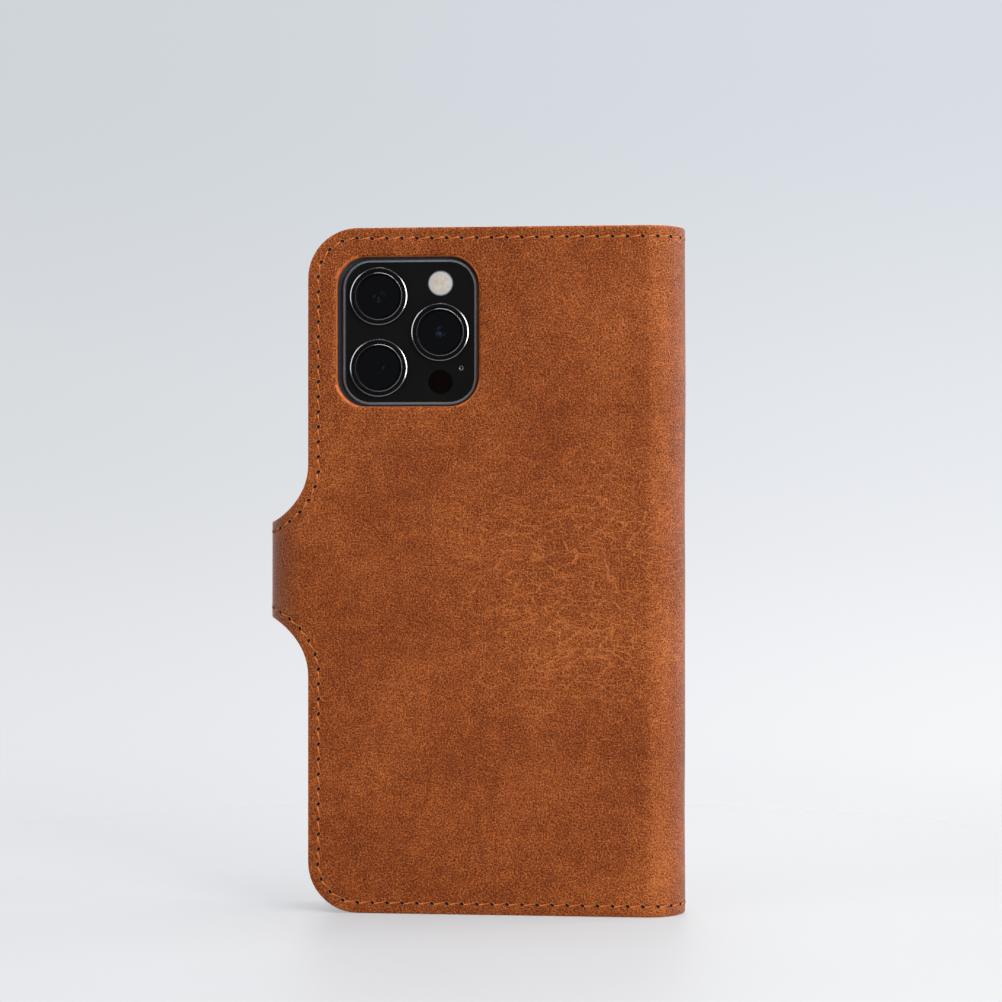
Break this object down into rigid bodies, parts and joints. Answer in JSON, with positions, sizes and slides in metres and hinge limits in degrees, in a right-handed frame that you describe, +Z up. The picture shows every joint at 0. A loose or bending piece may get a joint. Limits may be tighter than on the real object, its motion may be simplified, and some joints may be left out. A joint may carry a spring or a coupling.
{
  "type": "phone wallet case",
  "caption": "Leather folio case with a magnetic strap, camera window and card pockets, holding a phone in a moulded tray.",
  "frame": {"origin": "bottom centre of the whole object's box, standing closed on its bottom edge", "axes": "+Z up along the case's height, -Y out of the back cover, +X towards the spine"},
  "size_m": [0.095, 0.0516, 0.155],
  "materials": {
    "leather": "waxed pull-up leather, satin",
    "pocket_leather": "waxed leather, satin",
    "lining": "napped suede",
    "thread": "waxed linen thread",
    "board": "stiff fibre board",
    "magnet": "nickel-plated magnet",
    "tray": "matt moulded elastomer",
    "frame_metal": "dark satin metal",
    "screen_glass": "gloss black cover glass",
    "back_glass": "satin dark glass",
    "camera_glass": "gloss black glass",
    "lens_metal": "dark polished metal",
    "lens_glass": "coated black glass",
    "flash": "diffusing lens"
  },
  "bodies": {
    "back": {"back_leather": "leather", "back_lining": "lining", "back_thread": "thread", "phone_tray": "tray", "phone_frame": "frame_metal", "phone_screen": "screen_glass", "phone_back_glass": "back_glass", "camera_plateau": "camera_glass", "upper_lens_ring": "lens_metal", "lower_lens_ring": "lens_metal", "side_lens_ring": "lens_metal", "upper_lens_glass": "lens_glass", "lower_lens_glass": "lens_glass", "side_lens_glass": "lens_glass", "flash_lens": "flash", "depth_sensor_window": "lens_glass", "rear_microphone": "lens_metal"},
    "spine": {"spine_leather": "leather", "spine_lining": "lining", "spine_thread": "thread"},
    "front": {"front_leather": "leather", "front_board": "board", "cover_magnets": "magnet", "front_lining": "lining", "front_thread": "thread", "note_pocket_panel": "lining", "card_pocket_upper": "pocket_leather", "card_pocket_middle": "pocket_leather", "card_pocket_lower": "pocket_leather"},
    "strap_side": {"strap_side_leather": "leather", "strap_side_lining": "lining", "strap_side_thread": "thread"},
    "strap_tip": {"strap_tip_leather": "leather", "strap_tip_lining": "lining", "strap_tip_thread": "thread", "strap_magnets": "magnet"},
    "side_button": {"side_button": "frame_metal"},
    "volume_up_button": {"volume_up_button": "frame_metal"},
    "volume_down_button": {"volume_down_button": "frame_metal"},
    "ring_switch": {"ring_switch": "frame_metal"}
  },
  "joints": [
    {"name": "spine_fold", "type": "hinge", "parent": "back", "child": "spine", "pos_m": [0.04557, -0.02388, 0.0775], "axis": [0, 0, -1], "range_deg": [0, 90]},
    {"name": "cover_fold", "type": "hinge", "parent": "spine", "child": "front", "pos_m": [0.04557, -0.00974, 0.0775], "axis": [0, 0, -1], "range_deg": [0, 90]},
    {"name": "strap_side_fold", "type": "hinge", "parent": "back", "child": "strap_side", "pos_m": [-0.0453, -0.02361, 0.0775], "axis": [0, 0, 1], "range_deg": [0, 90]},
    {"name": "strap_tip_fold", "type": "hinge", "parent": "strap_side", "child": "strap_tip", "pos_m": [-0.0453, -0.00751, 0.0775], "axis": [0, 0, 1], "range_deg": [-70, 20]},
    {"name": "side_button_press", "type": "slide", "parent": "back", "child": "side_button", "axis": [1, 0, 0], "range_m": [0, 0.0003], "stiffness_N_per_m": 1200, "springref_m": -0.0002},
    {"name": "volume_up_press", "type": "slide", "parent": "back", "child": "volume_up_button", "axis": [-1, 0, 0], "range_m": [0, 0.0003], "stiffness_N_per_m": 1200, "springref_m": -0.0002},
    {"name": "volume_down_press", "type": "slide", "parent": "back", "child": "volume_down_button", "axis": [-1, 0, 0], "range_m": [0, 0.0003], "stiffness_N_per_m": 1200, "springref_m": -0.0002},
    {"name": "ring_switch_slide", "type": "slide", "parent": "back", "child": "ring_switch", "axis": [0, 1, 0], "range_m": [0, 0.001]}
  ]
}
